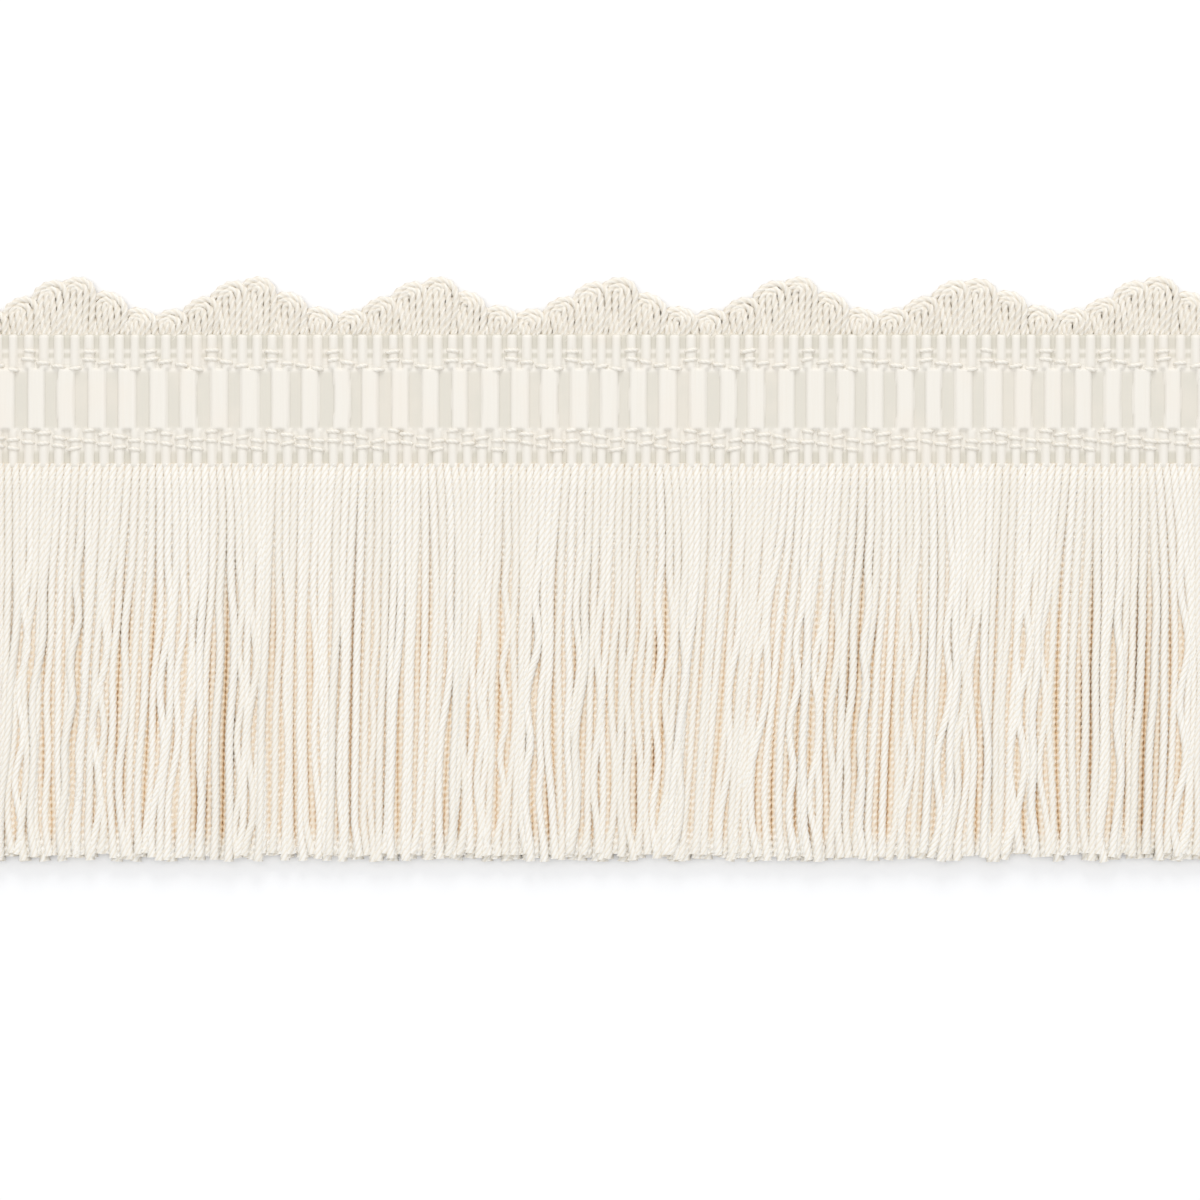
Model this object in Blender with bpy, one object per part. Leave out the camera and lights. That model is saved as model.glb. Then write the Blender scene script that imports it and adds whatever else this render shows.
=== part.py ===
"""A cut length of scalloped fringe trim, lying flat and face up.

X runs along the trim, Y from the fringe's ends up to the scallops, and Z out of the surface that it
lies on. The origin is the middle of its footprint, on that surface. Everything is in metres.

A passementerie maker makes this in three parts: a woven heading whose weft shows as upright ribs, a
row of weft loops along its upper edge, six to a scallop, and a skirt of twisted cords along its
lower edge.
"""

import math
import random

import bmesh
import bpy
import mathutils
import numpy as np

MM = 0.001

# Driving dimensions
RIB_PITCH = 1.95 * MM
RIBS_PER_STRIPE = 2
RIBS_PER_SCALLOP = 12
SCALLOPS = 7
SCALLOP_RISE = 7.6 * MM
HEADING_WIDTH = 17.6 * MM
FRINGE_DROP = 50.8 * MM
PIECE_GAP = 0.3 * MM

SCALLOP_PITCH = RIBS_PER_SCALLOP * RIB_PITCH
LENGTH = SCALLOPS * SCALLOP_PITCH
OVERALL_WIDTH = SCALLOP_RISE + HEADING_WIDTH + FRINGE_DROP
TOP_Y = OVERALL_WIDTH / 2
HEADING_TOP_Y = TOP_Y - SCALLOP_RISE
HEADING_LOW_Y = HEADING_TOP_Y - HEADING_WIDTH
FRINGE_END_Y = -OVERALL_WIDTH / 2

# Heading: its profile across one stripe, which is two ribs of a band or one float of the middle.
# across is the share of the stripe's width, band and float the heights there.
STRIPE_PROFILE = [
    {"across": 0.05, "band": 1.30 * MM, "float": 1.05 * MM},
    {"across": 0.22, "band": 1.95 * MM, "float": 1.75 * MM},
    {"across": 0.50, "band": 1.35 * MM, "float": 2.00 * MM},
    {"across": 0.78, "band": 1.95 * MM, "float": 1.75 * MM},
    {"across": 0.95, "band": 1.30 * MM, "float": 1.05 * MM},
]
# From the lower edge up: how much of the middle's float shows there, and how far the catch threads
# press the weft down.
HEADING_ROWS = [
    {"up": 0.0 * MM, "float": 0.0, "pressed": 0.15 * MM},
    {"up": 0.6 * MM, "float": 0.0, "pressed": 0.0 * MM},
    {"up": 2.6 * MM, "float": 0.0, "pressed": 0.05 * MM},
    {"up": 3.8 * MM, "float": 0.1, "pressed": 0.30 * MM},
    {"up": 5.1 * MM, "float": 0.5, "pressed": 0.30 * MM},
    {"up": 5.9 * MM, "float": 1.0, "pressed": 0.0 * MM},
    {"up": 12.5 * MM, "float": 1.0, "pressed": 0.0 * MM},
    {"up": 13.2 * MM, "float": 0.5, "pressed": 0.30 * MM},
    {"up": 15.2 * MM, "float": 0.1, "pressed": 0.30 * MM},
    {"up": 16.2 * MM, "float": 0.0, "pressed": 0.0 * MM},
    {"up": 17.6 * MM, "float": 0.0, "pressed": 0.10 * MM},
]

# Scallops: six loops of weft cord, from left to right. lean is the sideways shift for each unit up.
SCALLOP_LOOPS = [
    {"rise": 3.6 * MM, "lean": -0.10},
    {"rise": 5.1 * MM, "lean": -0.08},
    {"rise": 7.2 * MM, "lean": -0.04},
    {"rise": 7.6 * MM, "lean": 0.04},
    {"rise": 5.6 * MM, "lean": 0.08},
    {"rise": 3.6 * MM, "lean": 0.10},
]
LOOP_PITCH = 3.72 * MM
CORD_WIDTH = 0.92 * MM
CORD_CREST = 0.50 * MM
CORD_HEIGHT = 1.25 * MM
LOOP_ARC_STEPS = 6
TONGUE_CLEARANCE = 0.36 * MM
LOOP_STRIP_WIDTH = 1.0 * MM
LOOP_STRIP_HEIGHT = 1.45 * MM
LOWEST_SHOULDER = 0.2 * MM
LOOP_WOBBLE = 0.22 * MM

# Fringe: two layers of strands, the upper ones over the gaps between the lower ones.
STRANDS = 187
STRAND_THICKNESS = 0.95 * MM
STRAND_CREST = 0.55
LAYER_GAP = 0.30 * MM
FRINGE_STRIP_WIDTH = 1.6 * MM
FRINGE_FRONT_Y = HEADING_LOW_Y - PIECE_GAP - FRINGE_STRIP_WIDTH
STRAND_CELL = LENGTH / STRANDS
STRAND_STATIONS = [0.22, 0.50, 0.76, 1.0]
END_UNEVENNESS = 1.3 * MM
END_TAPER = 0.78
# How far the strands' ends have moved sideways at places along the trim.
SKIRT_LEAN = [
    {"place": -78.0 * MM, "shift": -1.8 * MM},
    {"place": -63.0 * MM, "shift": -2.2 * MM},
    {"place": -48.0 * MM, "shift": -0.6 * MM},
    {"place": -32.0 * MM, "shift": -0.5 * MM},
    {"place": -18.0 * MM, "shift": -1.4 * MM},
    {"place": 2.0 * MM, "shift": -0.7 * MM},
    {"place": 22.0 * MM, "shift": -3.3 * MM},
    {"place": 36.0 * MM, "shift": -2.0 * MM},
    {"place": 62.0 * MM, "shift": -1.5 * MM},
    {"place": 76.0 * MM, "shift": 0.3 * MM},
]
# Finer sideways waves on top of that: the reach at the ends, the length along the trim and the
# phase in turns.
STRAND_WAVES = [
    {"reach": 0.30 * MM, "length": 27.0 * MM, "phase": 0.55},
    {"reach": 0.12 * MM, "length": 11.0 * MM, "phase": 0.30},
]
WAVE_FADE = 9.0 * MM

SEED = 7
MERGE = 0.01 * MM
FLAT_ANGLE = math.radians(0.5)

YARN_COLOUR = (0.90, 0.85, 0.75, 1.0)
HEADING_COLOUR = (0.86, 0.82, 0.73, 1.0)
YARN_ROUGHNESS = 0.55


def clear_scene():
    for old in list(bpy.data.objects):
        bpy.data.objects.remove(old, do_unlink=True)


def new_collection(name):
    made = bpy.data.collections.new(name)
    bpy.context.scene.collection.children.link(made)
    return made


def yarn_material(name, colour):
    made = bpy.data.materials.new(name)
    made.use_nodes = True
    shader = made.node_tree.nodes["Principled BSDF"]
    shader.inputs["Base Color"].default_value = colour
    shader.inputs["Roughness"].default_value = YARN_ROUGHNESS
    shader.inputs["Metallic"].default_value = 0.0
    made.diffuse_color = colour
    return made


def object_from_bmesh(name, shape, material, collection):
    mesh = bpy.data.meshes.new(name)
    shape.to_mesh(mesh)
    shape.free()
    made = bpy.data.objects.new(name, mesh)
    made.data.materials.append(material)
    collection.objects.link(made)
    return made


def belt(columns, outline):
    """A closed strip along X: outline(x_index) gives the section's (y, z) points at each column."""
    count = len(outline(0))
    shape = bmesh.new()
    bmesh.ops.create_grid(shape, x_segments=len(columns) - 1, y_segments=count, size=1.0)
    shape.verts.ensure_lookup_table()
    for vertex in shape.verts:
        column = round((vertex.co.x + 1.0) / 2.0 * (len(columns) - 1))
        row = round((vertex.co.y + 1.0) / 2.0 * count)
        y, z = outline(column)[row % count]
        vertex.co = (columns[column], y, z)
    bmesh.ops.remove_doubles(shape, verts=shape.verts, dist=MERGE)
    bmesh.ops.holes_fill(shape, edges=shape.edges, sides=0)
    bmesh.ops.recalc_face_normals(shape, faces=shape.faces)
    return shape


def make_heading(material, collection):
    """The woven heading: ribs in both bands, twice as wide where two float together in the middle.

    A stripe stands under the middle of each scallop, so both cut ends run through a stripe.
    """
    stripe = RIB_PITCH * RIBS_PER_STRIPE
    stripes = round(LENGTH / stripe)
    middle_point = STRIPE_PROFILE[len(STRIPE_PROFILE) // 2]
    columns = [-LENGTH / 2]
    heights = [middle_point]
    for number in range(stripes + 1):
        for point in STRIPE_PROFILE:
            x = -LENGTH / 2 + (number - 0.5 + point["across"]) * stripe
            if abs(x) < LENGTH / 2 - MERGE:
                columns.append(x)
                heights.append(point)
    columns.append(LENGTH / 2)
    heights.append(middle_point)

    def outline(column):
        point = heights[column]
        section = [(HEADING_LOW_Y, 0.0)]
        for row in HEADING_ROWS:
            height = point["band"] + (point["float"] - point["band"]) * row["float"]
            section.append((HEADING_LOW_Y + row["up"], height - row["pressed"]))
        section.append((HEADING_TOP_Y, 0.0))
        return section

    return object_from_bmesh("heading", belt(columns, outline), material, collection)


def merge_flat(shape, kept_y):
    """Joins the strip's flat cells into whole faces, but for those that look along kept_y."""
    seams = []
    for edge in shape.edges:
        if all(face.normal.y * kept_y < 0.9 for face in edge.link_faces):
            seams.append(edge)
    bmesh.ops.dissolve_limit(shape, angle_limit=FLAT_ANGLE, verts=[], edges=seams)


def drawn_out(shape, face, rings):
    """Draws a face out of the shape through rings of four corners; the first ring is its own."""
    for before, after in zip(rings, rings[1:]):
        face = bmesh.ops.extrude_discrete_faces(shape, faces=[face])["faces"][0]
        for vertex in face.verts:
            distances = [(vertex.co - mathutils.Vector(corner)).length for corner in before]
            vertex.co = after[distances.index(min(distances))]
    return face


def cells_facing(shape, normal_y):
    """Every cell of the strip that looks along normal_y, with its middle and its four corners."""
    cells = []
    for face in shape.faces:
        if len(face.verts) == 4 and face.normal.y * normal_y > 0.9:
            corners = [tuple(vertex.co) for vertex in face.verts]
            corners.sort(key=lambda corner: (corner[2], corner[0]))
            cells.append({"face": face, "middle": face.calc_center_median(), "corners": corners})
    return cells


def cell_at(cells, x, z):
    """The cell whose middle is nearest to that place."""
    return min(cells, key=lambda cell: abs(cell["middle"].x - x) + abs(cell["middle"].z - z))


def cord_ring(x, y, across):
    """Four corners of a cord's section: a broad foot on the surface and a narrow crest above it."""
    turned_x, turned_y = across
    ring = []
    for width, height in ((CORD_WIDTH, 0.0), (CORD_CREST, CORD_HEIGHT)):
        for side in (-0.5, 0.5):
            ring.append((x + side * width * turned_x, y + side * width * turned_y, height))
    return ring


def add_loop(shape, cells, columns, low, rise, lean):
    """One weft loop drawn out of the strip: up, round and down to it again, and a tongue inside."""
    left_out, left_in, tongue_left, tongue_right, right_in, right_out = columns
    centre = (left_out + right_out) / 2
    radius = (right_out - left_out - CORD_WIDTH) / 2
    shoulder = max(rise - CORD_WIDTH / 2 - radius, LOWEST_SHOULDER)
    stretch = (rise - CORD_WIDTH / 2 - shoulder) / radius
    middle_z = LOOP_STRIP_HEIGHT / 2
    first = cell_at(cells, (left_out + left_in) / 2, middle_z)
    last = cell_at(cells, (right_in + right_out) / 2, middle_z)
    rings = [first["corners"]]
    for step in range(LOOP_ARC_STEPS + 1):
        turn = math.pi * (1.0 - step / LOOP_ARC_STEPS)
        up = shoulder + radius * stretch * math.sin(turn)
        x = centre + radius * math.cos(turn) + lean * up
        rings.append(cord_ring(x, low + up, (-math.cos(turn), -math.sin(turn))))
    left_foot, right_foot, left_crest, right_crest = last["corners"]
    rings.append([right_foot, left_foot, right_crest, left_crest])
    end = drawn_out(shape, first["face"], rings)
    bmesh.ops.delete(shape, geom=[end, last["face"]], context="FACES_ONLY")
    bmesh.ops.remove_doubles(shape, verts=shape.verts, dist=MERGE)

    tip = rise - CORD_WIDTH - TONGUE_CLEARANCE
    if tip > LOWEST_SHOULDER:
        tongue = cell_at(cells, (tongue_left + tongue_right) / 2, middle_z)
        end_ring = cord_ring(centre + lean * tip, low + tip, (1.0, 0.0))
        drawn_out(shape, tongue["face"], [tongue["corners"], end_ring])


def make_scallop(number, chance, material, collection):
    """One scallop: six loops standing on a narrow strip along the heading's upper edge."""
    middle = (number - (SCALLOPS - 1) / 2) * SCALLOP_PITCH
    half = (len(SCALLOP_LOOPS) * LOOP_PITCH) / 2
    low = HEADING_TOP_Y + PIECE_GAP
    high = low + LOOP_STRIP_WIDTH
    slot = (LOOP_PITCH - PIECE_GAP - 3 * CORD_WIDTH) / 2
    edges = []
    for index in range(len(SCALLOP_LOOPS)):
        x = middle - half + index * LOOP_PITCH + PIECE_GAP / 2
        widths = (0.0, CORD_WIDTH, slot, CORD_WIDTH, slot, CORD_WIDTH)
        edges.append([x + sum(widths[: count + 1]) for count in range(len(widths))])
    columns = [middle - half, *(x for loop in edges for x in loop), middle + half]
    section = [
        (low, 0.0),
        (low, LOOP_STRIP_HEIGHT),
        (high, LOOP_STRIP_HEIGHT),
        (high, 0.0),
    ]
    shape = belt(columns, lambda column: section)
    merge_flat(shape, 1.0)
    cells = cells_facing(shape, 1.0)
    tallest = max(loop["rise"] for loop in SCALLOP_LOOPS)
    for loop, loop_columns in zip(SCALLOP_LOOPS, edges):
        wobble = 0.0 if loop["rise"] == tallest else chance.uniform(-LOOP_WOBBLE, LOOP_WOBBLE)
        rise = loop["rise"] + wobble - PIECE_GAP - LOOP_STRIP_WIDTH
        add_loop(shape, cells, loop_columns, high, rise, loop["lean"])
    bmesh.ops.recalc_face_normals(shape, faces=shape.faces)
    return object_from_bmesh(f"scallop_{number + 1}", shape, material, collection)


def eased(share):
    """0 to 1 with a level start and end."""
    return share * share * (3.0 - 2.0 * share)


def wave(x, share):
    """How far a strand that starts at x has moved sideways, share of the way to its end.

    The end strands hang straight, so that nothing sticks out past the cut ends of the trim.
    """
    places = [row["place"] for row in SKIRT_LEAN]
    shifts = [row["shift"] for row in SKIRT_LEAN]
    swing = float(np.interp(x, places, shifts))
    for one in STRAND_WAVES:
        turns = x / one["length"] + one["phase"] + 0.35 * share
        swing += one["reach"] * math.sin(2.0 * math.pi * turns)
    from_end = min(1.0, (LENGTH / 2 - abs(x)) / WAVE_FADE)
    return swing * eased(from_end) * eased(share)


def strand_ring(start, share, length, low):
    """Four corners of a strand's section, share of the way from its root to its end."""
    x = start + wave(start, share)
    y = FRINGE_FRONT_Y - share * length
    foot = STRAND_CELL * (END_TAPER if share == STRAND_STATIONS[-1] else 1.0)
    crest = foot * STRAND_CREST
    high = low + STRAND_THICKNESS
    return [
        (x - foot / 2, y, low),
        (x + foot / 2, y, low),
        (x - crest / 2, y, high),
        (x + crest / 2, y, high),
    ]


def make_fringe(chance, material, collection):
    """The skirt: a narrow strip with two layers of strands drawn out of its front edge."""
    upper_low = STRAND_THICKNESS + LAYER_GAP
    upper_high = upper_low + STRAND_THICKNESS
    section = [
        (FRINGE_FRONT_Y, 0.0),
        (FRINGE_FRONT_Y, STRAND_THICKNESS),
        (FRINGE_FRONT_Y, upper_low),
        (FRINGE_FRONT_Y, upper_high),
        (HEADING_LOW_Y - PIECE_GAP, upper_high),
        (HEADING_LOW_Y - PIECE_GAP, 0.0),
    ]
    columns = [-LENGTH / 2 + index * STRAND_CELL for index in range(STRANDS + 1)]
    shape = belt(columns, lambda column: section)
    merge_flat(shape, -1.0)
    cells = cells_facing(shape, -1.0)
    longest = FRINGE_FRONT_Y - FRINGE_END_Y
    for number in range(STRANDS):
        middle = (columns[number] + columns[number + 1]) / 2
        low = upper_low if number % 2 else 0.0
        root = cell_at(cells, middle, low + STRAND_THICKNESS / 2)
        short = 0.0 if number == STRANDS // 2 else chance.uniform(0.0, END_UNEVENNESS)
        rings = [strand_ring(middle, share, longest - short, low) for share in STRAND_STATIONS]
        drawn_out(shape, root["face"], [root["corners"], *rings])
    return object_from_bmesh("fringe", shape, material, collection)


def main():
    clear_scene()
    chance = random.Random(SEED)
    pieces = new_collection("scalloped_fringe_trim")
    heading_yarn = yarn_material("heading_yarn", HEADING_COLOUR)
    loop_yarn = yarn_material("loop_yarn", HEADING_COLOUR)
    fringe_yarn = yarn_material("fringe_yarn", YARN_COLOUR)
    make_heading(heading_yarn, pieces)
    for number in range(SCALLOPS):
        make_scallop(number, chance, loop_yarn, pieces)
    make_fringe(chance, fringe_yarn, pieces)


main()
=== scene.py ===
# %% [markdown]
# # Scalloped fringe trim in cream yarn
#
# A passementerie trim has three parts that are worked together on one narrow loom. The heading is a
# ribbed tape. Its weft is carried out above the tape in loops, six to a scallop, and a skirt of
# twisted cords hangs below it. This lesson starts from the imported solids, which fix where each part
# is, and makes the yarn that they stand for: real cords, real loops and real stitches.
#
# X runs along the trim, Y up from the fringe's ends to the scallops, and Z out of the table.

import math
import random

import bpy
import numpy as np
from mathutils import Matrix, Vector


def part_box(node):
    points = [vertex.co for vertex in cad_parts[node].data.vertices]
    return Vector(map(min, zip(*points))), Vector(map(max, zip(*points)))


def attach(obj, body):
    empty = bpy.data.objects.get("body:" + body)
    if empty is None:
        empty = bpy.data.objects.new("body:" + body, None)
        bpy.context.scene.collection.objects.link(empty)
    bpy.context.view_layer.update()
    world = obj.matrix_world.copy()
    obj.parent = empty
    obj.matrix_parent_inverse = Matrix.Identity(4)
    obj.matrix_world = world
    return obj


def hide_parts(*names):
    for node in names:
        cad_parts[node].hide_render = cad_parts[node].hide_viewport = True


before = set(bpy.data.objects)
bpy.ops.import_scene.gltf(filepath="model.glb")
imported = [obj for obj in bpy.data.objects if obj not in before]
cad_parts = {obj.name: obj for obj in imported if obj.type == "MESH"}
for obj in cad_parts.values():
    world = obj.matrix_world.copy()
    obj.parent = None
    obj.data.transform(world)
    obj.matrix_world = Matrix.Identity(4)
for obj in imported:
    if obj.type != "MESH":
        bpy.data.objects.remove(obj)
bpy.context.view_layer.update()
MM = 0.001

# %% [markdown]
# ## The camera comes first
#
# The photograph looks straight down on the trim, with no visible perspective, and crops it at both
# ends. A long lens a little under half a metre away does the same. The picture is square and 156 mm
# wide at the trim, so the trim's cut ends lie just outside it.

# %% Camera
PICTURE_WIDTH = 156.0 * MM
PICTURE_CENTRE = (-0.8 * MM, -4.1 * MM)
LENS = 100.0
SENSOR = 36.0

camera_data = bpy.data.cameras.new("overhead")
camera_data.lens = LENS
camera_data.sensor_width = SENSOR
camera_data.clip_start = 0.01
camera = bpy.data.objects.new("overhead", camera_data)
bpy.context.scene.collection.objects.link(camera)
camera.location = (*PICTURE_CENTRE, PICTURE_WIDTH * LENS / SENSOR)
bpy.context.scene.camera = camera
print("camera height in mm:", round(camera.location.z / MM))

# %% [markdown]
# ## A yarn finish
#
# Viscose yarn is pale and has a soft lustre. What the eye reads as "twisted cord" is mostly the
# darker lines where the plies meet, and the warm shade on cords that lie behind others, because light
# reaches them only through yarn. The material paints both in as shade. It takes two numbers from
# the mesh: groove says how near a point is to a line between plies, where painted shade goes, and
# tone differs a little from cord to cord. Height above the table gives the painted warm shade. It is
# weaker near the heading, and fades out at the cords' tips and at the trim's two cut ends, where
# daylight comes in. A fine stretched noise gives the fibres, as bump.

# %% Colours and the helper that adds a node
def linear(hex_colour):
    """A paint-box colour such as F5F1E8, as the shader wants it."""
    channels = [int(hex_colour[start : start + 2], 16) / 255 for start in (0, 2, 4)]
    return (*(c / 12.92 if c <= 0.04045 else ((c + 0.055) / 1.055) ** 2.4 for c in channels), 1.0)


def add_node(tree, kind, settings=None, **inputs):
    """Adds a node. An input is a value, or the socket that feeds it. _1 is the input with number 1."""
    node = tree.nodes.new(kind)
    for name, value in (settings or {}).items():
        setattr(node, name, value)
    for name, value in inputs.items():
        socket = node.inputs[int(name[1:])] if name[0] == "_" else node.inputs[name.replace("_", " ")]
        if isinstance(value, bpy.types.NodeSocket):
            tree.links.new(value, socket)
        else:
            socket.default_value = value
    return node


def mix(tree, factor, first, second):
    """A colour mix: the output socket."""
    node = add_node(tree, "ShaderNodeMix", {"data_type": "RGBA"})
    for socket, value in ((node.inputs[0], factor), (node.inputs[6], first), (node.inputs[7], second)):
        if isinstance(value, bpy.types.NodeSocket):
            tree.links.new(value, socket)
        else:
            socket.default_value = value
    return node.outputs[2]


def ranged(tree, value, low, high, to_low=0.0, to_high=1.0):
    """A smooth map from low..high to to_low..to_high: the output socket."""
    node = add_node(tree, "ShaderNodeMapRange", {"interpolation_type": "SMOOTHSTEP"})
    tree.links.new(value, node.inputs[0])
    for index, number in enumerate((low, high, to_low, to_high), start=1):
        node.inputs[index].default_value = number
    return node.outputs[0]


# %% The yarn material
SHADE_IN_GROOVES = 0.8
SHADE_BY_CORD = 0.20
WARM_SHADE_AT_HEADING = 0.42
TIP_ROWS = (-37.0 * MM, -33.5 * MM)
CUT_END_PLACES = (79.5 * MM, 81.2 * MM)
FIBRE_DEPTH = 0.04 * MM


def yarn_material(name, light, shade, warm, warm_shade_heights, warm_shade_rows, stretch):
    """Viscose yarn: light on the plies, painted shade between them, and a warmer painted shade where
    it lies under other cords.

    That warmer shade starts and is full at the first two heights, begins to fade at the third and is
    gone at the fourth. It grows from the first of the two rows to the second."""
    made = bpy.data.materials.new(name)
    made.use_nodes = True
    tree = made.node_tree
    shader = tree.nodes["Principled BSDF"]
    place = add_node(tree, "ShaderNodeTexCoord").outputs["Object"]
    groove = add_node(tree, "ShaderNodeAttribute", {"attribute_name": "groove"}).outputs["Fac"]
    tone = add_node(tree, "ShaderNodeAttribute", {"attribute_name": "tone"}).outputs["Fac"]
    axes = add_node(tree, "ShaderNodeSeparateXYZ", Vector=place)

    # Painted shade: the lines between the plies take the shade colour, over the real valleys of the mesh.
    grooves = ranged(tree, groove, 0.3, 1.0, 0.0, SHADE_IN_GROOVES)
    plies = mix(tree, grooves, linear(light), linear(shade))
    toned = mix(tree, ranged(tree, tone, 0.0, 1.0, 0.0, SHADE_BY_CORD), plies, linear(shade))

    # Painted warm shade: parts low on the table, under other cords, are mixed toward the warm colour.
    starts, full, fades, gone = warm_shade_heights
    warm_shade_share = ranged(tree, axes.outputs["Z"], starts, full)
    outward = add_node(tree, "ShaderNodeMath", {"operation": "ABSOLUTE"}, _0=axes.outputs["X"])
    for share in (
        ranged(tree, axes.outputs["Z"], fades, gone, 1.0, 0.0),
        ranged(tree, axes.outputs["Y"], *warm_shade_rows, WARM_SHADE_AT_HEADING, 1.0),
        ranged(tree, axes.outputs["Y"], *TIP_ROWS),
        ranged(tree, outward.outputs[0], *CUT_END_PLACES, 1.0, 0.0),
    ):
        product = add_node(tree, "ShaderNodeMath", {"operation": "MULTIPLY"}, _0=warm_shade_share, _1=share)
        warm_shade_share = product.outputs[0]
    colour = mix(tree, warm_shade_share, toned, linear(warm))
    tree.links.new(colour, shader.inputs["Base Color"])

    stretched = add_node(tree, "ShaderNodeMapping", Vector=place, Scale=stretch)
    fibres = add_node(tree, "ShaderNodeTexNoise", Vector=stretched.outputs[0], Scale=1.0, Detail=2.0)
    bump = add_node(tree, "ShaderNodeBump", Height=fibres.outputs["Fac"], Strength=0.25, Distance=FIBRE_DEPTH)
    tree.links.new(bump.outputs[0], shader.inputs["Normal"])
    shader.inputs["Roughness"].default_value = 0.6
    shader.inputs["Sheen Weight"].default_value = 0.15
    shader.inputs["Sheen Roughness"].default_value = 0.5
    shader.inputs["Specular IOR Level"].default_value = 0.25
    return made


# In each yarn the warm colour is a painted shade for the parts that lie low, under other yarn or in the
# tape's grooves.
skirt_yarn = yarn_material(
    "twisted_skirt_yarn",
    light="FDFAF4",
    shade="E7DECD",
    warm="EBC285",
    warm_shade_heights=(0.0, 0.15 * MM, 1.00 * MM, 1.92 * MM),
    warm_shade_rows=(8.0 * MM, -14.0 * MM),
    stretch=(5200.0, 900.0, 5200.0),
)
loop_yarn = yarn_material(
    "twisted_loop_yarn",
    light="F7F2E9",
    shade="DFD5C4",
    warm="E4D8C3",
    warm_shade_heights=(0.05 * MM, 0.30 * MM, 0.50 * MM, 0.80 * MM),
    warm_shade_rows=(45.0 * MM, 30.0 * MM),
    stretch=(3800.0, 3800.0, 3800.0),
)
catch_yarn = yarn_material(
    "fine_catch_thread",
    light="F1ECE3",
    shade="E8E2D6",
    warm="DFD8CB",
    warm_shade_heights=(0.6 * MM, 0.9 * MM, 1.2 * MM, 1.5 * MM),
    warm_shade_rows=(45.0 * MM, 30.0 * MM),
    stretch=(900.0, 5200.0, 5200.0),
)
print("yarns:", [m.name for m in (skirt_yarn, loop_yarn, catch_yarn)])

# %% [markdown]
# ## One tree for every twisted cord
#
# A cord is a few plies wound round each other. Sweeping a lobed profile along the cord's path, with
# one lobe for each ply, and turning it once for each twist gives all the plies in one closed tube,
# with a fraction of the faces that separate helices need. The tree below does it for any set of
# paths, so the skirt, the loops and the catch threads share it, each with its own sizes.

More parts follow.
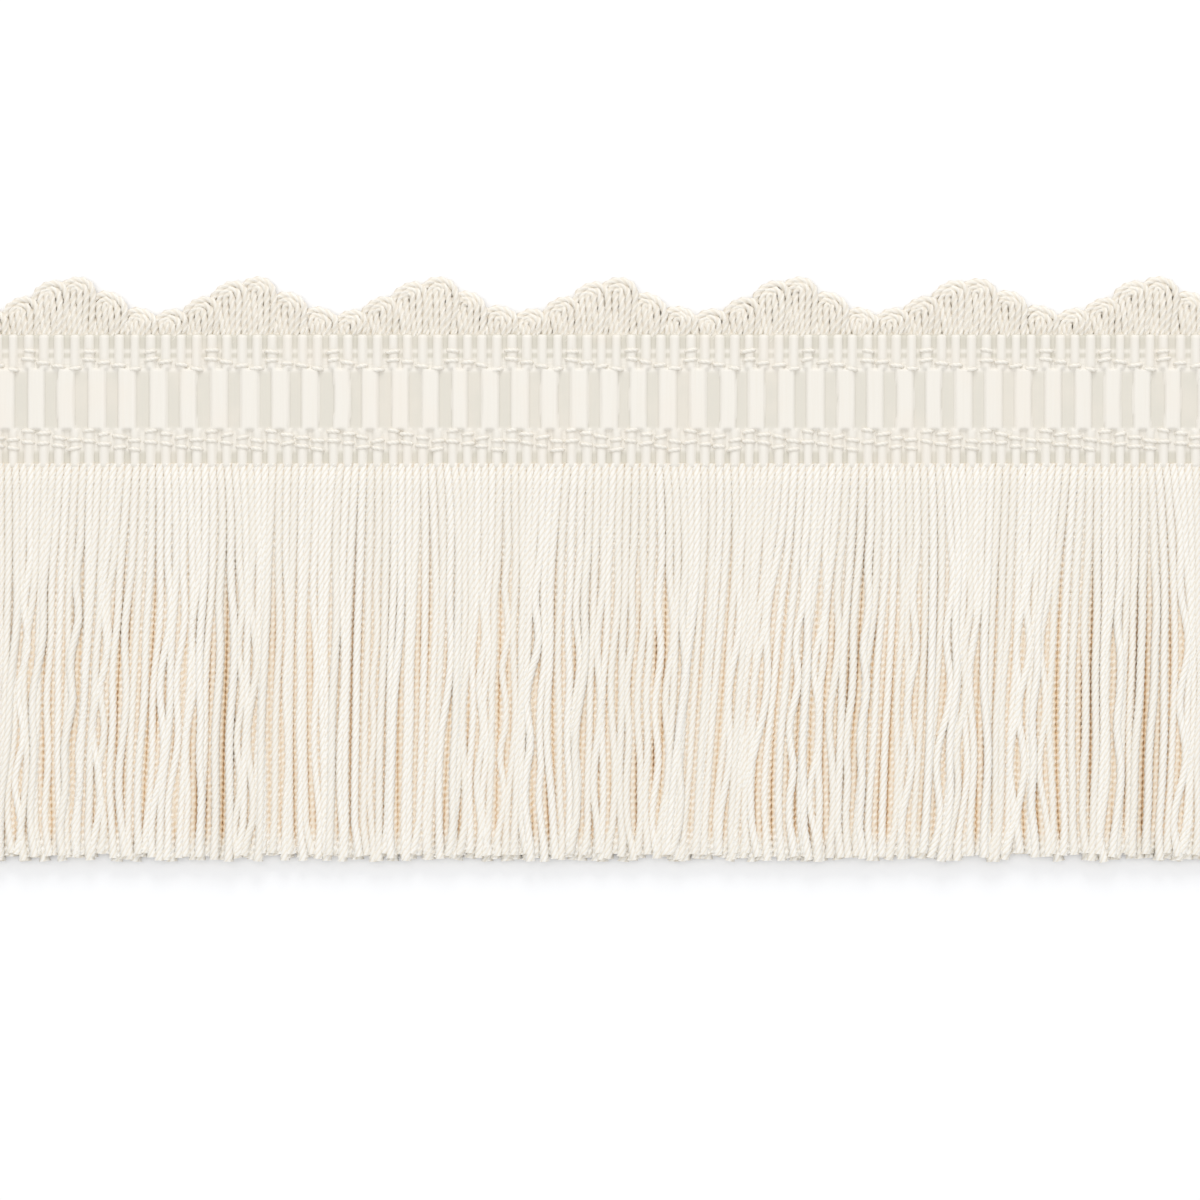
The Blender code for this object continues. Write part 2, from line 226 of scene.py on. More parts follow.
# %% Geometry Nodes: twisted cord
def twisted_cord_tree():
    tree = bpy.data.node_groups.new("twisted_cord", "GeometryNodeTree")
    sockets = tree.interface
    sockets.new_socket("Geometry", in_out="INPUT", socket_type="NodeSocketGeometry")
    for name, kind in (
        ("Ring Step", "NodeSocketFloat"),
        ("Twist Length", "NodeSocketFloat"),
        ("Plies", "NodeSocketInt"),
        ("Cord Radius", "NodeSocketFloat"),
        ("Valley", "NodeSocketFloat"),
        ("Sides", "NodeSocketInt"),
        ("Seed", "NodeSocketInt"),
        ("Yarn", "NodeSocketMaterial"),
    ):
        sockets.new_socket(name, in_out="INPUT", socket_type=kind)
    sockets.new_socket("Geometry", in_out="OUTPUT", socket_type="NodeSocketGeometry")
    given = add_node(tree, "NodeGroupInput").outputs

    # The paths come in as runs of edges, and leave as curves with evenly spaced rings.
    paths = add_node(tree, "GeometryNodeMeshToCurve", Mesh=given["Geometry"])
    rings = add_node(
        tree,
        "GeometryNodeResampleCurve",
        {"mode": "LENGTH"},
        Curve=paths.outputs[0],
        Length=given["Ring Step"],
    )

    # Each cord starts its twist at its own angle.
    which = add_node(tree, "GeometryNodeCurveOfPoint").outputs["Curve Index"]
    start = add_node(tree, "FunctionNodeRandomValue", ID=which, Seed=given["Seed"], _2=0.0, _3=math.tau)
    along = add_node(tree, "GeometryNodeSplineParameter").outputs["Length"]
    turns = add_node(tree, "ShaderNodeMath", {"operation": "DIVIDE"}, _0=along, _1=given["Twist Length"])
    angle = add_node(
        tree,
        "ShaderNodeMath",
        {"operation": "MULTIPLY_ADD"},
        _0=turns.outputs[0],
        _1=math.tau,
        _2=start.outputs[1],
    )
    turned = add_node(tree, "GeometryNodeSetCurveTilt", Curve=rings.outputs[0], Tilt=angle.outputs[0])

    # What the yarn material needs later: the cord's middle line and a tone of its own.
    tone = add_node(tree, "FunctionNodeRandomValue", ID=which, Seed=11)
    kept = tree.nodes.new("GeometryNodeCaptureAttribute")
    kept.capture_items.new("VECTOR", "centre")
    kept.capture_items.new("FLOAT", "tone")
    tree.links.new(turned.outputs[0], kept.inputs["Geometry"])
    tree.links.new(add_node(tree, "GeometryNodeInputPosition").outputs[0], kept.inputs["centre"])
    tree.links.new(tone.outputs[1], kept.inputs["tone"])

    # The profile: a circle whose radius falls to Valley times its own between the plies.
    circle = add_node(
        tree, "GeometryNodeCurvePrimitiveCircle", Resolution=given["Sides"], Radius=given["Cord Radius"]
    )
    step = add_node(
        tree,
        "ShaderNodeMath",
        {"operation": "DIVIDE"},
        _0=add_node(tree, "GeometryNodeInputIndex").outputs[0],
        _1=given["Sides"],
    )
    lobes = add_node(tree, "ShaderNodeMath", {"operation": "MULTIPLY"}, _0=step.outputs[0], _1=given["Plies"])
    around = add_node(tree, "ShaderNodeMath", {"operation": "MULTIPLY"}, _0=lobes.outputs[0], _1=math.tau)
    crest = add_node(tree, "ShaderNodeMath", {"operation": "COSINE"}, _0=around.outputs[0])
    shrink = add_node(
        tree,
        "ShaderNodeMapRange",
        Value=crest.outputs[0],
        _1=-1.0,
        _2=1.0,
        _3=given["Valley"],
        _4=1.0,
    )
    drawn_in = add_node(
        tree,
        "ShaderNodeVectorMath",
        {"operation": "SCALE"},
        _0=add_node(tree, "GeometryNodeInputPosition").outputs[0],
        Scale=shrink.outputs[0],
    )
    profile = add_node(
        tree, "GeometryNodeSetPosition", Geometry=circle.outputs[0], Position=drawn_in.outputs[0]
    )

    # girth comes with the paths, so that a cord can be thicker or thinner along its length.
    girth = add_node(tree, "GeometryNodeInputNamedAttribute", {"data_type": "FLOAT"}, Name="girth")
    tube = add_node(
        tree,
        "GeometryNodeCurveToMesh",
        Curve=kept.outputs["Geometry"],
        Profile_Curve=profile.outputs[0],
        Scale=girth.outputs[0],
        Fill_Caps=True,
    )

    # groove is 1 on the lines between the plies and 0 on their crests, whatever the girth. The yarn material
    # paints shade along it.
    out = add_node(
        tree,
        "ShaderNodeVectorMath",
        {"operation": "DISTANCE"},
        _0=add_node(tree, "GeometryNodeInputPosition").outputs[0],
        _1=kept.outputs["centre"],
    )
    crest_out = add_node(
        tree,
        "ShaderNodeMath",
        {"operation": "MULTIPLY"},
        _0=given["Cord Radius"],
        _1=girth.outputs[0],
    )
    reach = add_node(
        tree, "ShaderNodeMath", {"operation": "DIVIDE"}, _0=out.outputs["Value"], _1=crest_out.outputs[0]
    )
    near = add_node(
        tree,
        "ShaderNodeMapRange",
        Value=reach.outputs[0],
        _1=given["Valley"],
        _2=1.0,
        _3=1.0,
        _4=0.0,
    )
    with_groove = add_node(
        tree,
        "GeometryNodeStoreNamedAttribute",
        Geometry=tube.outputs[0],
        Name="groove",
        Value=near.outputs[0],
    )
    with_tone = add_node(
        tree,
        "GeometryNodeStoreNamedAttribute",
        Geometry=with_groove.outputs[0],
        Name="tone",
        Value=kept.outputs["tone"],
    )
    smooth = add_node(tree, "GeometryNodeSetShadeSmooth", Geometry=with_tone.outputs[0])
    plain = add_node(tree, "GeometryNodeRealizeInstances", Geometry=smooth.outputs[0])
    dressed = add_node(
        tree, "GeometryNodeSetMaterial", Geometry=plain.outputs[0], Material=given["Yarn"]
    )
    add_node(tree, "NodeGroupOutput", Geometry=dressed.outputs[0])
    return tree


cord_tree = twisted_cord_tree()
print("the cord tree has", len(cord_tree.nodes), "nodes")


# %% From paths to a piece
def paths_object(name, paths):
    """Paths as runs of edges. A path is a list of (x, y, z, girth)."""
    points = [point for path in paths for point in path]
    edges = []
    first = 0
    for path in paths:
        edges += [(first + step, first + step + 1) for step in range(len(path) - 1)]
        first += len(path)
    mesh = bpy.data.meshes.new(name)
    mesh.from_pydata([point[:3] for point in points], edges, [])
    girth = mesh.attributes.new("girth", "FLOAT", "POINT")
    girth.data.foreach_set("value", [point[3] for point in points])
    made = bpy.data.objects.new(name, mesh)
    bpy.context.scene.collection.objects.link(made)
    return made


def cords_along(name, paths, yarn, slot, stands_for, **sizes):
    """Runs the cord tree over the paths, keeps its result as a plain mesh and puts it in the frame."""
    made = paths_object(name, paths)
    modifier = made.modifiers.new("twisted cord", "NODES")
    modifier.node_group = cord_tree
    wanted = {"Yarn": yarn, **{key.replace("_", " "): value for key, value in sizes.items()}}
    for item in cord_tree.interface.items_tree:
        if item.in_out == "INPUT" and item.name in wanted:
            modifier[item.identifier] = wanted[item.name]
    made.update_tag()
    bpy.context.view_layer.update()
    ready = made.evaluated_get(bpy.context.evaluated_depsgraph_get())
    result = bpy.data.meshes.new_from_object(ready)
    made.modifiers.remove(modifier)
    made.data = result
    result.name = name
    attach(made, "root")
    if stands_for:
        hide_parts(*stands_for)
    result.calc_loop_triangles()
    print(name, "has", len(result.loop_triangles), "triangles")
    return made


# %% [markdown]
# ## The skirt
#
# The cords leave the heading side by side, so close that no gap shows, and loosen further down. What
# makes a hanging skirt look real is that neighbours move together: slow waves carry the whole
# skirt a little left or right, and within a wave the cords gather in locks of three to eight, with a
# narrow gap between one lock and the next. Each cord then has a small drift of its own, and a few
# stray across their neighbours. Last, neighbours that hang too far apart are drawn together.
#
# Behind the front layer lies a second one. Its cords are thicker and closer, and hardly loosen, so
# it closes the gaps. It lies lower, so it shows in them with the painted warm shade.

# %% Sizes of the skirt
HEADING_LOW, HEADING_HIGH = (corner[1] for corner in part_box("heading"))
SKIRT_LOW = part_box("fringe")[0][1]
HALF_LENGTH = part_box("heading")[1][0]
CORD_RADIUS = 0.60 * MM
STROKE_SPACING = 1.04 * MM
FRONT_HEIGHT = 1.50 * MM
BACK_HEIGHT = 1.05 * MM
TUCKED_IN = 0.7 * MM
UNEVEN_ENDS = 1.2 * MM
LOCK_WIDTHS = (3.0 * MM, 8.0 * MM)
STRAY_CHANCE = 0.16
STRAY_LIFT = 0.30 * MM
PATH_POINTS = 26
TIP_FROM = 0.93
SWOLLEN_TIP = 0.20
PLUMP_TOP = 0.13
CALM_END = 9.0 * MM
SWAY_TURN = 0.35

# In millimetres: places along the trim, and how far the tips hang to the side there.
LEAN_PLACES = [-78.0, -63.0, -48.0, -32.0, -18.0, 2.0, 22.0, 36.0, 62.0, 76.0]
LEAN_SHIFTS = [-1.8, -2.2, -0.6, -0.5, -1.4, -0.7, -3.3, -2.0, -1.5, 0.3]

# Waves swing the tips, and bows push out the middle of the cords.
SKIRT_WAVES = [
    {"reach": 0.30 * MM, "length": 27.0 * MM, "phase": 0.55},
    {"reach": 0.36 * MM, "length": 11.0 * MM, "phase": 0.30},
    {"reach": 0.20 * MM, "length": 6.3 * MM, "phase": 0.80},
]
SKIRT_BOWS = [
    {"reach": 0.70 * MM, "length": 31.0 * MM, "phase": -0.10},
    {"reach": 0.30 * MM, "length": 9.3 * MM, "phase": 0.40},
]
print("skirt from", round(HEADING_LOW / MM, 1), "to", round(SKIRT_LOW / MM, 1), "mm")


# %% How the skirt hangs
def smooth_step(value):
    """0 up to 0, 1 from 1 on, and a smooth rise between them."""
    value = min(1.0, max(0.0, value))
    return value * value * (3.0 - 2.0 * value)


def shared_sway(x, share):
    """The sideways move that neighbours have in common, share of the way down. None at a cut end."""
    swing = float(np.interp(x / MM, LEAN_PLACES, LEAN_SHIFTS)) * MM
    for wave in SKIRT_WAVES:
        phase = x / wave["length"] + wave["phase"] + SWAY_TURN * share
        swing += wave["reach"] * math.sin(math.tau * phase)
    bulge = 0.0
    for bow in SKIRT_BOWS:
        bulge += bow["reach"] * math.sin(math.tau * (x / bow["length"] + bow["phase"]))
    from_end = min(1.0, (HALF_LENGTH - abs(x)) / CALM_END)
    bulge *= math.sin(math.pi * share ** 0.8)
    return smooth_step(from_end) * (swing * smooth_step(share) + bulge)


def make_locks(chance):
    """The middles of the locks that the cords gather in, from left to right."""
    middles = []
    x = -HALF_LENGTH
    while x < HALF_LENGTH:
        width = chance.uniform(*LOCK_WIDTHS)
        middles.append(x + width / 2)
        x += width
    return middles


def hanging_cord(x, layer, locks, chance):
    """One cord's path, from inside the heading's lower edge to its end."""
    end = SKIRT_LOW + chance.uniform(0.0, UNEVEN_ENDS)
    top = HEADING_LOW + TUCKED_IN
    lock = min(locks, key=lambda middle: abs(middle - x))
    gather = chance.uniform(0.01, 0.06)
    drift = chance.gauss(0.0, 0.22) * MM
    reach = abs(chance.gauss(0.0, 0.25)) * MM
    length = chance.uniform(11.0, 26.0) * MM
    phase = chance.uniform(0.0, math.tau)
    strays = chance.random() < STRAY_CHANCE
    stray = chance.choice((-1.0, 1.0)) * chance.uniform(0.7, 1.5) * MM if strays else 0.0
    curl = chance.gauss(0.0, 0.36) * MM
    lift = STRAY_LIFT if strays else chance.uniform(-0.12, 0.10) * MM
    path = []
    for step in range(PATH_POINTS):
        share = step / (PATH_POINTS - 1)
        y = top + (end - top) * share
        loose = layer["loose"] * smooth_step((share - 0.03) / 0.5)
        side = shared_sway(x, share)
        side += (lock - x) * gather * loose
        side += (drift + stray * smooth_step((share - 0.3) / 0.7)) * loose
        side += reach * math.sin(math.tau * share * (top - end) / length + phase) * loose
        side += curl * smooth_step((share - TIP_FROM) / 0.07)
        rise = layer["height"] + lift * loose
        rise -= 0.25 * MM * (1.0 - smooth_step(share / 0.04))
        girth = 1.0 + SWOLLEN_TIP * smooth_step((share - TIP_FROM) / 0.06)
        girth += PLUMP_TOP * smooth_step((0.45 - share) / 0.4)
        girth *= layer["girth"]
        path.append((x + side, y, max(rise, layer["girth"] * CORD_RADIUS), girth))
    return path


def draw_together(cords, widest, rounds=12, pull=0.3):
    """Neighbours hold each other: where two hang further apart than widest, both give way a little."""
    across = np.array([[point[0] for point in cord] for cord in cords])
    for _ in range(rounds):
        excess = pull * np.clip(np.diff(across, axis=0) - widest, 0.0, None)
        across[:-1] += excess
        across[1:] -= excess
    return [
        [(float(x), *point[1:]) for x, point in zip(row, cord)] for row, cord in zip(across, cords)
    ]


# %% Make the skirt
# start is the first cord's place, counted in pitches from the cut end. ring is the length of one step
# of a cord's mesh. loose is how freely the cords hang: 1 for all of the drift above, 0 for none.
SKIRT_LAYERS = [
    {
        "name": "skirt_front",
        "height": FRONT_HEIGHT,
        "girth": 1.0,
        "start": 0.5,
        "pitch": 0.98 * MM,
        "plies": 5,
        "valley": 0.85,
        "ring": 0.58 * MM,
        "loose": 1.0,
        "widest": 1.82 * MM,
    },
    {
        "name": "skirt_back",
        "height": BACK_HEIGHT,
        "girth": 1.16,
        "start": 1.0,
        "pitch": 0.80 * MM,
        "plies": 5,
        "valley": 0.93,
        "ring": 0.85 * MM,
        "loose": 0.12,
        "widest": 1.10 * MM,
    },
]
chance = random.Random(21)
for layer in SKIRT_LAYERS:
    locks = make_locks(chance)
    count = int(2 * HALF_LENGTH / layer["pitch"] - layer["start"])
    cords = []
    for number in range(count):
        x = -HALF_LENGTH + (number + layer["start"]) * layer["pitch"]
        cords.append(hanging_cord(x, layer, locks, chance))
    cords = draw_together(cords, layer["widest"])
    size = math.ceil(count / 2)
    for half in range(2):
        cords_along(
            f"{layer['name']}_{'left' if half == 0 else 'right'}",
            cords[half * size : (half + 1) * size],
            skirt_yarn,
            "fringe_yarn",
            ["fringe"],
            Ring_Step=layer["ring"],
            Twist_Length=layer["plies"] * STROKE_SPACING,
            Plies=layer["plies"],
            Cord_Radius=CORD_RADIUS,
            Valley=layer["valley"],
            Sides=2 * layer["plies"],
            Seed=3 + half,
        )
    print(layer["name"], "has", count, "cords")

# %% [markdown]
# ## The scallops
#
# Above the tape the weft cord runs out, turns and comes back, six times in each scallop. Each loop
# holds two shorter loops of the same cord, so six cords stand side by side in it. A loop is
# wider at its top than at its root and tilts a little, so each one lies on the next, like shingles.
# The tops step up to the middle of the scallop and down again.

# %% Sizes of the scallops
SCALLOPS = 7
SCALLOP_PITCH = 23.4 * MM

# In millimetres: where a loop's root and top are in its scallop, how far it rises above the tape, and
# how much higher its right side is than its left one.
LOOP_TABLE = [
    {"root": -9.7, "top": -9.9, "rise": 3.4, "climb": 1.0},
    {"root": -5.6, "top": -5.9, "rise": 4.9, "climb": 1.4},
    {"root": -1.8, "top": -2.1, "rise": 7.0, "climb": 1.3},
    {"root": 1.7, "top": 1.6, "rise": 7.6, "climb": 0.0},
    {"root": 5.6, "top": 5.4, "rise": 5.7, "climb": -0.7},
    {"root": 9.7, "top": 9.5, "rise": 3.8, "climb": -0.7},
]

# The three turns in a loop, from the outside in: half their width at the root and at the top, how much
# lower they turn than the outer one, and how high they lie above the table.
NESTED = [
    {"root": 1.70 * MM, "top": 2.15 * MM, "lower": 0.0, "height": 0.58 * MM},
    {"root": 0.95 * MM, "top": 1.25 * MM, "lower": 0.66 * MM, "height": 0.72 * MM},
    {"root": 0.34 * MM, "top": 0.40 * MM, "lower": 1.15 * MM, "height": 0.80 * MM},
]
LOOP_CORD_RADIUS = 0.55 * MM
LOOP_TUCKED_IN = 1.2 * MM
LOOP_LOWEST = 0.5 * MM
LOOP_BULGE = 0.15 * MM
LOOP_TILT = 0.30 * MM
LOOP_SHAKE = 0.07 * MM
ARCH_TURNS = 9
LEG_POINTS = 5


# %% Make the scallops
def arch_path(loop, nest, centre, rise):
    """Up one side, round the top and down the other. Its right leg lies over the next loop."""
    straight = max(rise - nest["top"], 0.3 * MM)
    path = [(-1.0, up) for up in np.linspace(-LOOP_TUCKED_IN, straight, LEG_POINTS)]
    for turn in np.linspace(math.pi, 0.0, ARCH_TURNS)[1:-1]:
        path.append((math.cos(turn), straight + (rise - straight) * math.sin(turn) ** 0.8))
    path += [(1.0, up) for up in np.linspace(straight, -LOOP_TUCKED_IN, LEG_POINTS)]
    placed = []
    for side, up in path:
        share = min(1.0, max(0.0, up) / rise)
        half = nest["root"] + (nest["top"] - nest["root"]) * smooth_step(share * 1.5)
        x = centre + side * half + (loop["top"] - loop["root"]) * MM * share
        y = HEADING_HIGH + up + 0.5 * loop["climb"] * MM * side * share ** 2 * half / NESTED[0]["top"]
        tilt = LOOP_TILT * side * share * half / NESTED[0]["top"]
        z = nest["height"] + LOOP_BULGE * math.sin(math.pi * share) + tilt
        shake = LOOP_SHAKE * math.sin(up / (0.9 * MM) + 40.0 * nest["root"] / MM + centre / MM + side)
        placed.append((x + shake, y + shake, max(z + shake, LOOP_LOWEST), 1.0))
    return placed


chance = random.Random(5)
for number in range(SCALLOPS):
    middle = (number - (SCALLOPS - 1) / 2) * SCALLOP_PITCH
    paths = []
    for loop in LOOP_TABLE:
        centre = middle + (loop["root"] + chance.uniform(-0.12, 0.12)) * MM
        rise = (loop["rise"] + chance.uniform(-0.2, 0.05)) * MM - LOOP_CORD_RADIUS
        for nest in NESTED:
            paths.append(arch_path(loop, nest, centre, max(rise - nest["lower"], 0.9 * MM)))
    cords_along(
        f"scallop_loops_{number + 1}",
        paths,
        loop_yarn,
        "loop_yarn",
        [f"scallop_{number + 1}"],
        Ring_Step=0.22 * MM,
        Twist_Length=3.6 * MM,
        Plies=3,
        Cord_Radius=LOOP_CORD_RADIUS,
        Valley=0.68,
        Sides=9,
        Seed=31 + number,
    )

# %% [markdown]
# ## The heading
#
# The tape's face is all weft. In its upper and lower bands each rib is a bundle of yarn, and in the
# middle two ribs run together and float over the ground as one flat, wide stripe, with the ground
# sunk between the stripes. A height for each point of a fine grid says all that, so the tape is
# one closed mesh whose height is computed: rounded bumps in the bands, two to a stripe, and one flat
# bump a stripe in the middle, with a short blend where the catch threads pass. The threads press the
# ribs down. The low floor between the ribs gets painted shade, weaker near the threads, so the
# grooves are paler there.

# %% Sizes of the heading
STRIPE = 3.9 * MM
MIDDLE_LOW = HEADING_HIGH - 12.42 * MM
MIDDLE_HIGH = HEADING_HIGH - 4.57 * MM
BAND_BLEND = 0.16 * MM
BAND_FLOOR = 1.35 * MM
RIB_RISE = 0.50 * MM
RIB_HALF = 0.158 * STRIPE
GROUND = 1.45 * MM
FLOAT_RISE = 0.40 * MM
FLOAT_HALVES = (0.265 * STRIPE, 0.305 * STRIPE)
ROUND, FLAT = 2.0, 8.0
PRESS = 0.25
MOST_PRESSED = 0.35
STITCH_REACH = 0.35
GROOVE_DEPTH = 0.25 * MM
EDGE_ROUNDING = 0.35 * MM

# In millimetres: places along the trim, and how far the ribs stand beside an even spacing there.
SLOW_PLACES = [-81.9, -78.0, -39.0, 0.0, 39.0, 74.0, 81.9]
SLOW_SHIFTS = [0.0, 0.2, 0.65, 0.4, -0.4, -0.8, 0.0]

# The rows of catch threads: how many millimetres below the tape's upper edge, and over which ribs.
STITCHES = [
    {"down": 2.25, "first": 0, "every": 4},
    {"down": 3.40, "first": 0, "every": 4},
    {"down": 3.75, "first": 1, "every": 4},
    {"down": 4.15, "first": 2, "every": 4},
    {"down": 4.60, "first": 3, "every": 4},
    {"down": 12.60, "first": 0, "every": 4},
    {"down": 13.00, "first": 1, "every": 4},
    {"down": 13.45, "first": 2, "every": 4},
    {"down": 13.85, "first": 3, "every": 4},
    {"down": 14.00, "first": 0, "every": 4},
    {"down": 14.25, "first": 1, "every": 4},
    {"down": 14.60, "first": 2, "every": 4},
    {"down": 14.95, "first": 3, "every": 4},
]
STRIPES = round(2 * HALF_LENGTH / STRIPE) + 1
print("stripes:", STRIPES, "ribs:", 2 * STRIPES)


# %% Heights of the heading
def middle_share(y):
    """1 in the middle band, 0 in the ribbed ones."""
    above_low = smooth_step((y - MIDDLE_LOW + BAND_BLEND) / (2 * BAND_BLEND))
    below_high = smooth_step((MIDDLE_HIGH + BAND_BLEND - y) / (2 * BAND_BLEND))
    return above_low * below_high


# A rib's middle is a quarter of a stripe to either side of its stripe's, give or take a little.
chance = random.Random(12)
rib_places = -HALF_LENGTH + (np.arange(2 * STRIPES) - 0.5) * STRIPE / 2
slow_shift = np.interp(rib_places / MM, SLOW_PLACES, SLOW_SHIFTS)
rib_middles = rib_places + np.array([(slow + chance.gauss(0.0, 0.05)) * MM for slow in slow_shift])
stripe_middles = rib_middles.reshape(-1, 2).mean(axis=1)
stripe_bend = np.array([chance.gauss(0.0, 0.08) * MM for _ in range(STRIPES)])
stripe_halves = [chance.uniform(*FLOAT_HALVES) for _ in range(STRIPES)]
rib_halves = [RIB_HALF] * len(rib_middles)


def bumps(columns, middles, halves, fullness):
    """A row of rounded bumps, 0 to 1 high. The fuller, the flatter their tops."""
    height = np.zeros(len(columns))
    for middle, half in zip(middles, halves):
        away = np.abs(columns - middle)
        near = away < half
        height[near] = np.sqrt(1.0 - (away[near] / half) ** fullness)
    return height


def stitch_nearness(y, row):
    """1 on a row of catch threads, falling to 0 within about a millimetre."""
    down = (HEADING_HIGH - y) / MM
    return math.exp(-(((down - row["down"]) / STITCH_REACH) ** 2))


def heading_height(columns, y):
    """Heights of one row of the tape's face, over all the columns."""
    press = np.zeros(len(rib_middles))
    for row in STITCHES:
        press[row["first"] :: row["every"]] += PRESS * stitch_nearness(y, row)
    held = np.interp(columns, rib_middles, np.minimum(press, MOST_PRESSED))
    ribs = BAND_FLOOR + RIB_RISE * bumps(columns, rib_middles, rib_halves, ROUND) * (1.0 - held)
    bend = math.sin(math.pi * (y - MIDDLE_LOW) / (MIDDLE_HIGH - MIDDLE_LOW))
    bent = stripe_middles + stripe_bend * bend
    floats = GROUND + FLOAT_RISE * bumps(columns, bent, stripe_halves, FLAT)
    share = middle_share(y)
    height = ribs * (1.0 - share) + floats * share
    edge = min(HEADING_HIGH - y, y - HEADING_LOW) / EDGE_ROUNDING
    return height * (0.55 + 0.45 * math.sqrt(min(1.0, max(0.0, edge))))


def groove_shade_at(y, z):
    """Painted shade for the tape: 1 on the floor between the ribs, falling to 0 higher up, and weaker near
    the catch threads.
    """
    thread_nearness = max(stitch_nearness(y, row) for row in STITCHES)
    deep = min(1.0, max(0.0, 1.0 - (z - BAND_FLOOR) / GROOVE_DEPTH))
    return deep * (1.0 - 0.8 * thread_nearness)


# %% Make the heading
COLUMNS_PER_STRIPE = 22
EDGE_STEPS = (0.0, 0.08, 0.2, 0.4)


def heading_rows():
    """Rows of the grid, closer at the edges and where the weave changes."""
    rows = [HEADING_LOW + step * MM for step in EDGE_STEPS]
    y = HEADING_LOW + 0.8 * MM
    while y < HEADING_HIGH - 0.5 * MM:
        rows.append(y)
        down = (HEADING_HIGH - y) / MM
        busy = 1.8 < down < 5.3 or 11.9 < down < 15.4
        y += (0.2 if busy else 0.55) * MM
    return rows + [HEADING_HIGH - step * MM for step in reversed(EDGE_STEPS)]


columns = np.linspace(-HALF_LENGTH, HALF_LENGTH, (STRIPES - 1) * COLUMNS_PER_STRIPE + 1)
rows = heading_rows()
face = [[(x, y, z) for x, z in zip(columns, heading_height(columns, y))] for y in rows]

# The back repeats the face's relief, turned over and much shallower, with two straight edges.
BACK_TOP = 1.92 * MM
BACK_EDGE = 1.90 * MM
BACK_RELIEF = 0.12
back_rows = [HEADING_HIGH - down * MM for down in (0.0, 0.5, 4.2, 5.0, 12.0, 12.8, 17.1)]
back_rows.append(HEADING_LOW)
back = []
for row, y in enumerate(back_rows):
    relief = heading_height(columns, y)
    if row in (0, len(back_rows) - 1):
        relief = np.full(len(columns), BACK_EDGE)
    back.append([(x, y, BACK_RELIEF * (BACK_TOP - z)) for x, z in zip(columns, relief)])

# The face, the back and the two cut ends close the mesh.
sheets = face + back
width = len(columns)
points = [point for row in sheets for point in row]
faces = []
for row in range(len(sheets)):
    following = (row + 1) % len(sheets)
    for column in range(width - 1):
        faces.append(
            (
                row * width + column,
                row * width + column + 1,
                following * width + column + 1,
                following * width + column,
            )
        )
faces.append([row * width for row in range(len(sheets))])
faces.append([row * width + width - 1 for row in reversed(range(len(sheets)))])
mesh = bpy.data.meshes.new("woven_heading")
mesh.from_pydata(points, [], faces)
mesh.validate()
# The painted shade mask for the floss, kept as groove.
depth = mesh.attributes.new("groove", "FLOAT", "POINT")
depth.data.foreach_set("value", [float(groove_shade_at(y, z)) for _, y, z in points])
for polygon in mesh.polygons:
    polygon.use_smooth = len(polygon.vertices) == 4
heading = bpy.data.objects.new("woven_heading", mesh)
bpy.context.scene.collection.objects.link(heading)
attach(heading, "root")
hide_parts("heading")
mesh.calc_loop_triangles()
print("woven_heading has", len(mesh.loop_triangles), "triangles in", len(rows), "rows")


# %% [markdown]
# ## The heading's finish
#
# The bundles are untwisted floss, so the tape is smoother than the cords: fine lines run along the
# ribs. Painted shade makes the ground between the stripes a little darker and greyer, and the floor
# between the ribs darker still, the deeper the face lies. The lines are a noise stretched along Y,
# forty times finer across the rib than along it. A second, coarse noise warms a few patches.

# %% The floss material
def floss_material(name):
    """Untwisted floss: pale ribs and stripes, painted shade on the sunk ground and the floor between the
    ribs, fine lines and a few warm patches.
    """
    made = bpy.data.materials.new(name)
    made.use_nodes = True
    tree = made.node_tree
    shader = tree.nodes["Principled BSDF"]
    place = add_node(tree, "ShaderNodeTexCoord").outputs["Object"]
    groove = add_node(tree, "ShaderNodeAttribute", {"attribute_name": "groove"}).outputs["Fac"]
    lined = add_node(tree, "ShaderNodeMapping", Vector=place, Scale=(4200.0, 110.0, 4200.0))
    lines = add_node(tree, "ShaderNodeTexNoise", Vector=lined.outputs[0], Scale=1.0, Detail=3.0)
    patch = add_node(tree, "ShaderNodeTexNoise", Vector=place, Scale=160.0, Detail=2.0)
    # Painted shade: the lower the tape's face lies below the rib tops, the more it takes the darker colour.
    ribs = mix(tree, ranged(tree, groove, 0.1, 0.9), linear("EBE6DD"), linear("D2CDC0"))
    streaked = mix(tree, ranged(tree, lines.outputs["Fac"], 0.35, 0.75, 0.0, 0.20), ribs, linear("E2DBCE"))
    colour = mix(tree, ranged(tree, patch.outputs["Fac"], 0.45, 0.7, 0.0, 0.25), streaked, linear("EDE3D6"))
    tree.links.new(colour, shader.inputs["Base Color"])
    bump = add_node(tree, "ShaderNodeBump", Height=lines.outputs["Fac"], Strength=0.4, Distance=0.05 * MM)
    tree.links.new(bump.outputs[0], shader.inputs["Normal"])
    shader.inputs["Roughness"].default_value = 0.5
    shader.inputs["Sheen Weight"].default_value = 0.2
    shader.inputs["Sheen Roughness"].default_value = 0.4
    shader.inputs["Specular IOR Level"].default_value = 0.4
    return made


heading.data.materials.append(floss_material("heading_floss"))

# %% [markdown]
# ## Catch threads
#
# A fine thread ties the weft down where the bands meet the middle. It passes over one rib in four
# and under the three between, one rib further along in each row, so its floats step down to the
# right like a twill. Each float is a short arc whose two ends dive into the tape.


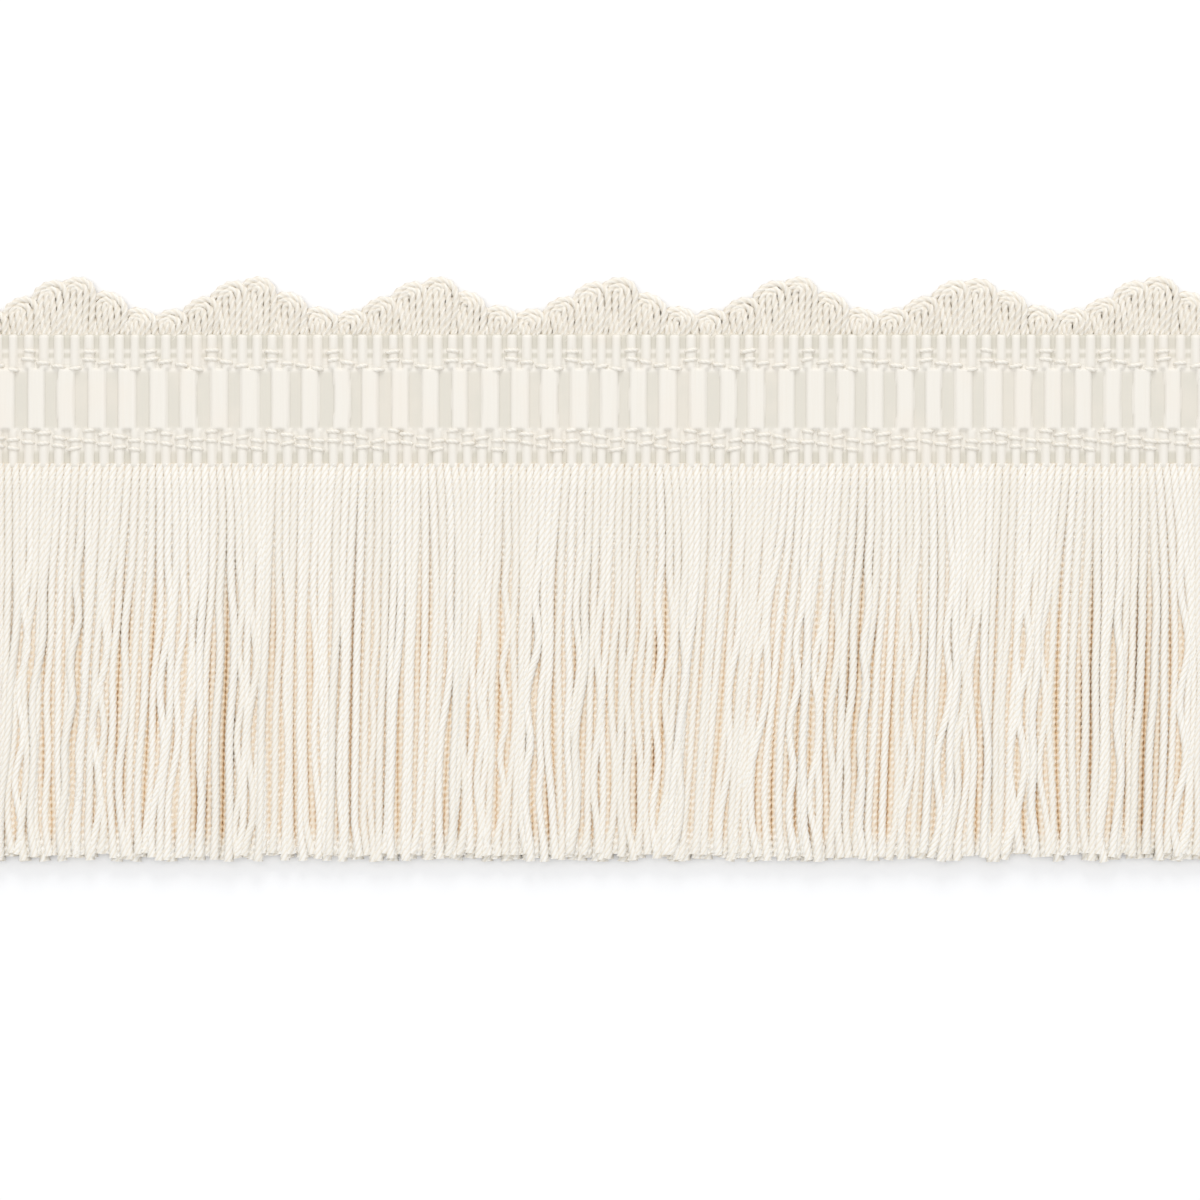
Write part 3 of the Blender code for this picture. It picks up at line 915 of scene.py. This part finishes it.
# %% Make the catch threads
def catch_float(rib, down, chance):
    """One float over a rib, from the groove on its left to the groove on its right."""
    y = HEADING_HIGH - (down + chance.uniform(-0.12, 0.12)) * MM
    middle = rib_middles[rib] + chance.uniform(-0.12, 0.12) * MM
    half = chance.uniform(0.18, 0.24) * STRIPE
    slope = chance.uniform(-0.15, 0.20) * MM
    high = BAND_FLOOR + RIB_RISE - 0.10 * MM
    low = BAND_FLOOR - 0.20 * MM
    path = []
    for step in range(-4, 5):
        share = step / 4
        z = low + (high - low) * (1.0 - abs(share) ** 3.2)
        path.append((middle + share * half, y + slope * share, z, 1.0 - 0.25 * abs(share) ** 4))
    return path


chance = random.Random(40)
floats = []
for row in STITCHES:
    for rib in range(row["first"], 2 * STRIPES, row["every"]):
        if abs(rib_places[rib]) < HALF_LENGTH - 1.2 * MM:
            floats.append(catch_float(rib, row["down"], chance))
catch = cords_along(
    "catch_threads",
    floats,
    catch_yarn,
    "heading_yarn",
    [],
    Ring_Step=0.2 * MM,
    Twist_Length=1.1 * MM,
    Plies=2,
    Cord_Radius=0.30 * MM,
    Valley=0.85,
    Sides=6,
    Seed=9,
)
print("floats:", len(floats))

# %% [markdown]
# ## What the cloth is
#
# The heading is a woven tape, laid flat. Its flat size is its own length and width.

# %% [markdown]
# ## Table and light
#
# The photograph has a white ground, even light and one soft shadow along the fringe's ends. A
# large lamp beyond the scallops, half a metre above the table, gives that shadow. A wider one
# overhead and a bright surround fill the rest.

# %% Table
table_mesh = bpy.data.meshes.new("white_table")
TABLE_HALF = 3.0
corners = [(x * TABLE_HALF, y * TABLE_HALF, 0.0) for x, y in ((-1, -1), (1, -1), (1, 1), (-1, 1))]
table_mesh.from_pydata(corners, [], [(0, 1, 2, 3)])
table = bpy.data.objects.new("white_table", table_mesh)
table.location.z = -0.02 * MM
bpy.context.scene.collection.objects.link(table)
paper = bpy.data.materials.new("matt_white_paper")
paper.use_nodes = True
paper_shader = paper.node_tree.nodes["Principled BSDF"]
paper_shader.inputs["Base Color"].default_value = linear("FAFAFB")
paper_shader.inputs["Roughness"].default_value = 0.95
paper_shader.inputs["Specular IOR Level"].default_value = 0.0
table.data.materials.append(paper)


# %% Lamps and surround
def soft_lamp(name, place, size, watts):
    """A square lamp that shines towards the middle of the trim."""
    data = bpy.data.lights.new(name, "AREA")
    data.size = size
    data.energy = watts
    made = bpy.data.objects.new(name, data)
    bpy.context.scene.collection.objects.link(made)
    made.location = place
    toward = -made.location
    made.rotation_mode = "QUATERNION"
    made.rotation_quaternion = toward.to_track_quat("-Z", "Y")
    return made


soft_lamp("window", place=(0.04, 0.90, 0.52), size=0.5, watts=3.5)
soft_lamp("overhead_fill", place=(-0.1, 0.1, 1.3), size=0.9, watts=3.15)
surround = bpy.data.worlds.new("bright_room")
surround.use_nodes = True
background = surround.node_tree.nodes["Background"]
background.inputs["Color"].default_value = (0.98, 0.99, 1.0, 1.0)
background.inputs["Strength"].default_value = 0.80
bpy.context.scene.world = surround
bpy.context.scene.view_settings.view_transform = "Standard"
